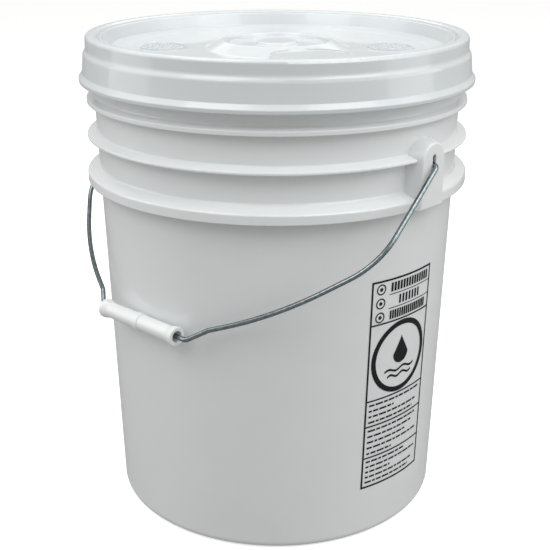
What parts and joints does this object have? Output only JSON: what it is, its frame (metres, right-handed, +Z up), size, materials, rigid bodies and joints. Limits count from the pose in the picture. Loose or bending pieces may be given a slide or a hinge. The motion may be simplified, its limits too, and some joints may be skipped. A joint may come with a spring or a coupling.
{
  "type": "plastic fermenting bucket",
  "caption": "Tapered white plastic bucket with stacking rings, a lift-off sealed lid, and a swinging wire bail with a plastic hand grip.",
  "frame": {"origin": "centre of the foot ring on the floor", "axes": "+Z up along the bucket's axis, +X through one bail ear, -Y towards the hand grip as it hangs"},
  "size_m": [0.3216, 0.3084, 0.3826],
  "materials": {
    "pail_plastic": "semi-gloss natural white HDPE",
    "lid_plastic": "smooth white HDPE, slightly glossier than the pail",
    "gasket_rubber": "soft pale sealing rubber",
    "bail_steel": "bright galvanised wire",
    "grip_plastic": "satin white plastic"
  },
  "bodies": {
    "pail": {"pail": "pail_plastic"},
    "lid": {"lid": "lid_plastic", "lid_gasket": "gasket_rubber"},
    "bail": {"bail_wire": "bail_steel"},
    "grip": {"bail_grip": "grip_plastic"}
  },
  "joints": [
    {"name": "lid_lift", "type": "slide", "parent": "pail", "child": "lid", "axis": [0, 0, 1], "range_m": [0, 0.15]},
    {"name": "bail_swing", "type": "hinge", "parent": "pail", "child": "bail", "pos_m": [0, 0, 0.3025], "axis": [-1, 0, 0], "range_deg": [0, 259.7]},
    {"name": "grip_spin", "type": "hinge", "parent": "bail", "child": "grip", "pos_m": [-0.0034, -0.146, 0.18059], "axis": [1, 0, 0], "continuous": true}
  ]
}
